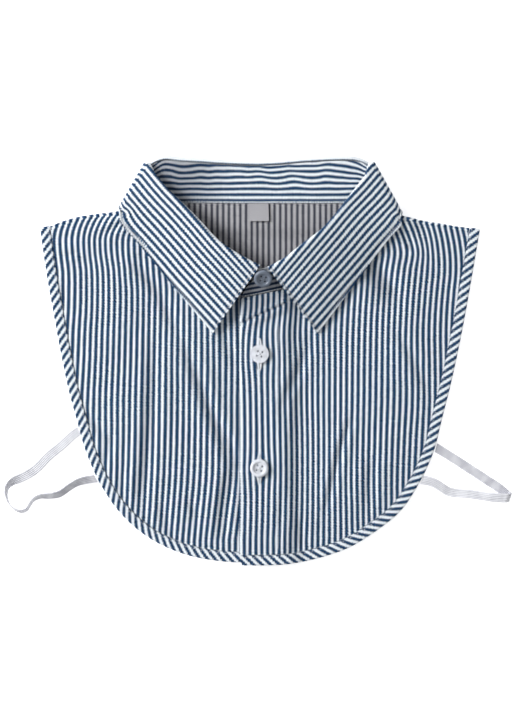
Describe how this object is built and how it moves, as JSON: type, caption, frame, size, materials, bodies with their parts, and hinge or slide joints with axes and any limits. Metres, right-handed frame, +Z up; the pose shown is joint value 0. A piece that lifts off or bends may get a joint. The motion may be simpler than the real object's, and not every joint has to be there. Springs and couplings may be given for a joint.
{
  "type": "detachable shirt collar",
  "caption": "Striped cotton false collar with a pointed turn-down collar, short bib fronts and back, a bias-bound edge, buttons and elastic side loops, laid flat.",
  "frame": {"origin": "middle of the bounding box in plan, at the height of the surface it lies on", "axes": "+X to the viewer's right across the garment, +Y from the hem towards the neck, +Z up from the surface towards the viewer; the garment lies on its back"},
  "size_m": [0.3156, 0.2546, 0.0184],
  "materials": {
    "striped_cotton": "woven cotton shirting, navy and white stripes 3.5 mm apart, matt",
    "striped_binding": "the same cotton cut on the bias, so its stripes run across it, matt",
    "button_shell": "pale grey, soft gloss",
    "label_satin": "grey satin ribbon, bare",
    "elastic_white": "white braided elastic, ribbed along its length"
  },
  "bodies": {
    "root": {"back_panel": "striped_cotton", "front_right": "striped_cotton", "front_left": "striped_cotton", "edge_binding": "striped_binding", "collar_stand": "striped_cotton", "collar_fall": "striped_cotton", "size_label": "label_satin", "elastic_left": "elastic_white", "elastic_right": "elastic_white", "button_upper": "button_shell", "button_lower": "button_shell", "button_stand": "button_shell"}
  },
  "joints": []
}
